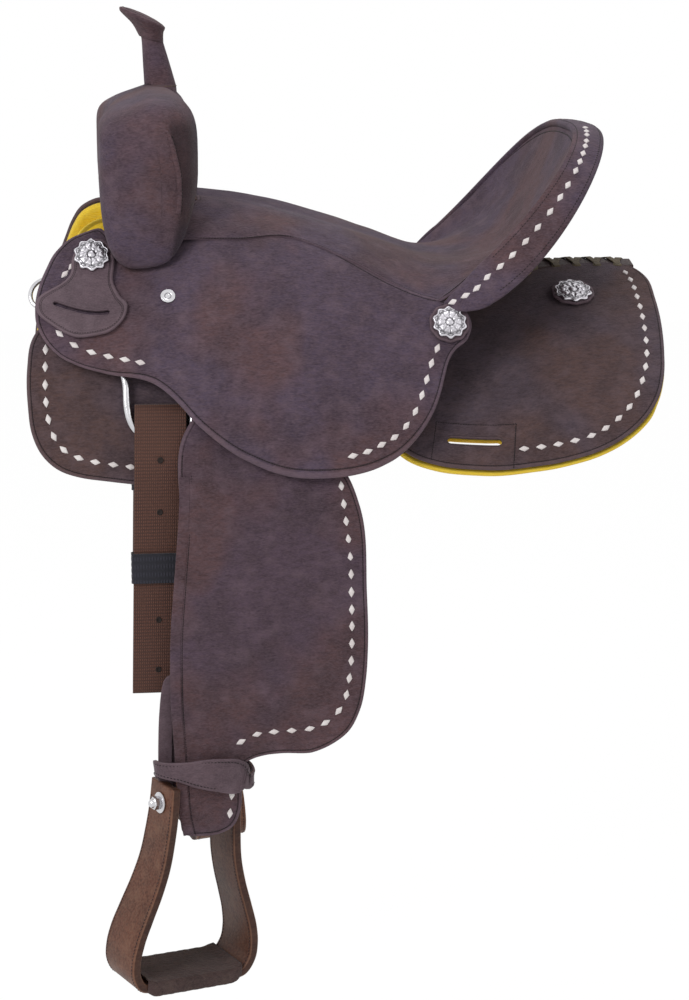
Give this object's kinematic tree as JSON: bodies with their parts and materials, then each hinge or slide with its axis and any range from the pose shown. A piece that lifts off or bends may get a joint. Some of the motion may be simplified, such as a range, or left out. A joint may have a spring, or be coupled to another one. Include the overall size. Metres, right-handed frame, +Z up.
{
  "type": "barrel racing saddle",
  "caption": "Western barrel racing saddle in dark roughout suede with a tall horn, deep seat and high cantle, felt-lined skirts, swinging fenders and turned stirrups.",
  "frame": {"origin": "on the saddle's middle plane, level with the ridge of the rear skirts, about a third of the way back along the seat; it is where the saddle sits on the horse's back", "axes": "+Z up; +X towards the horse's tail, so the saddle faces -X; -Y is the near side, the horse's left"},
  "size_m": [0.648, 0.59, 0.9707],
  "materials": {
    "yellow_felt": "dense felted wool, matt",
    "roughout_suede": "roughout suede, matt",
    "lace_leather": "soft lace, matt",
    "fibreglass_over_wood": "sealed",
    "smooth_leather": "smooth, half matt",
    "polished_steel": "polished",
    "seat_foam": "dense foam",
    "stirrup_leather_on_wood": "leather over laminated wood, half gloss",
    "nylon_webbing": "ribbed weave",
    "navy_elastic": "ribbed weave",
    "antique_silver": "engraved, darkened in the recesses"
  },
  "bodies": {
    "saddle": {"skirt_lining_near": "yellow_felt", "skirt_lining_far": "yellow_felt", "skirt_near": "roughout_suede", "skirt_far": "roughout_suede", "skirt_lace": "lace_leather", "tree_bar_near": "fibreglass_over_wood", "tree_bar_far": "fibreglass_over_wood", "tree_fork": "fibreglass_over_wood", "fork_cover": "roughout_suede", "horn_wrap": "roughout_suede", "horn_cap_cover": "roughout_suede", "horn_core": "polished_steel", "seat_leather": "roughout_suede", "seat_foam": "seat_foam", "ground_seat": "fibreglass_over_wood", "cantle_roll": "roughout_suede", "cantle_back_cover": "roughout_suede", "tree_cantle": "fibreglass_over_wood", "seat_jockey_near": "roughout_suede", "seat_jockey_far": "roughout_suede", "rigging_dee_near": "polished_steel", "rigging_dee_far": "polished_steel", "rigging_leather_near": "smooth_leather", "rigging_leather_far": "smooth_leather", "web_strap_near": "nylon_webbing", "web_strap_far": "nylon_webbing", "front_dee_near": "polished_steel", "front_dee_far": "polished_steel", "front_concho_near": "antique_silver", "front_concho_far": "antique_silver", "seat_rosette_near": "smooth_leather", "seat_rosette_far": "smooth_leather", "seat_concho_near": "antique_silver", "seat_concho_far": "antique_silver", "rear_rosette_near": "smooth_leather", "rear_rosette_far": "smooth_leather", "rear_concho_near": "antique_silver", "rear_concho_far": "antique_silver", "jockey_screw_near": "polished_steel", "jockey_screw_far": "polished_steel"},
    "latigo_holder": {"latigo_holder": "smooth_leather"},
    "fender_near": {"fender_near": "roughout_suede", "stirrup_leather_near": "smooth_leather", "hobble_strap_near": "smooth_leather"},
    "stirrup_near": {"stirrup_near": "stirrup_leather_on_wood", "stirrup_tread_near": "roughout_suede", "stirrup_bolt_near": "polished_steel"},
    "roller_near": {"stirrup_roller_near": "polished_steel"},
    "keeper_near": {"strap_keeper_near": "navy_elastic"},
    "fender_far": {"fender_far": "roughout_suede", "stirrup_leather_far": "smooth_leather", "hobble_strap_far": "smooth_leather"},
    "stirrup_far": {"stirrup_far": "stirrup_leather_on_wood", "stirrup_tread_far": "roughout_suede", "stirrup_bolt_far": "polished_steel"},
    "roller_far": {"stirrup_roller_far": "polished_steel"},
    "keeper_far": {"strap_keeper_far": "navy_elastic"}
  },
  "joints": [
    {"name": "fender_swing_near", "type": "hinge", "parent": "saddle", "child": "fender_near", "pos_m": [-0.11, -0.17, -0.04], "axis": [0, 1, 0], "range_deg": [-12, 8]},
    {"name": "stirrup_turn_near", "type": "hinge", "parent": "fender_near", "child": "stirrup_near", "pos_m": [-0.174, -0.232, -0.5], "axis": [0.8784, 0.4695, -0.0892], "range_deg": [-35, 10]},
    {"name": "roller_spin_near", "type": "hinge", "parent": "fender_near", "child": "roller_near", "pos_m": [-0.174, -0.232, -0.5], "axis": [0.8784, 0.4695, -0.0892], "continuous": true},
    {"name": "keeper_slide_near", "type": "slide", "parent": "saddle", "child": "keeper_near", "axis": [0.026, 0, 0.9997], "range_m": [-0.1, 0.04]},
    {"name": "fender_swing_far", "type": "hinge", "parent": "saddle", "child": "fender_far", "pos_m": [-0.11, 0.17, -0.04], "axis": [0, 1, 0], "range_deg": [-12, 8]},
    {"name": "stirrup_turn_far", "type": "hinge", "parent": "fender_far", "child": "stirrup_far", "pos_m": [-0.14984, 0.222, -0.50272], "axis": [0.1734, -0.9848, 0.0091], "range_deg": [-20, 20]},
    {"name": "roller_spin_far", "type": "hinge", "parent": "fender_far", "child": "roller_far", "pos_m": [-0.14984, 0.222, -0.50272], "axis": [0.1734, -0.9848, 0.0091], "continuous": true},
    {"name": "keeper_slide_far", "type": "slide", "parent": "saddle", "child": "keeper_far", "axis": [0.026, 0, 0.9997], "range_m": [-0.1, 0.04]},
    {"name": "latigo_holder_swing", "type": "hinge", "parent": "saddle", "child": "latigo_holder", "pos_m": [-0.2655, -0.13473, 0.03165], "axis": [0, -0.8176, 0.5758], "range_deg": [-30, 5]}
  ]
}
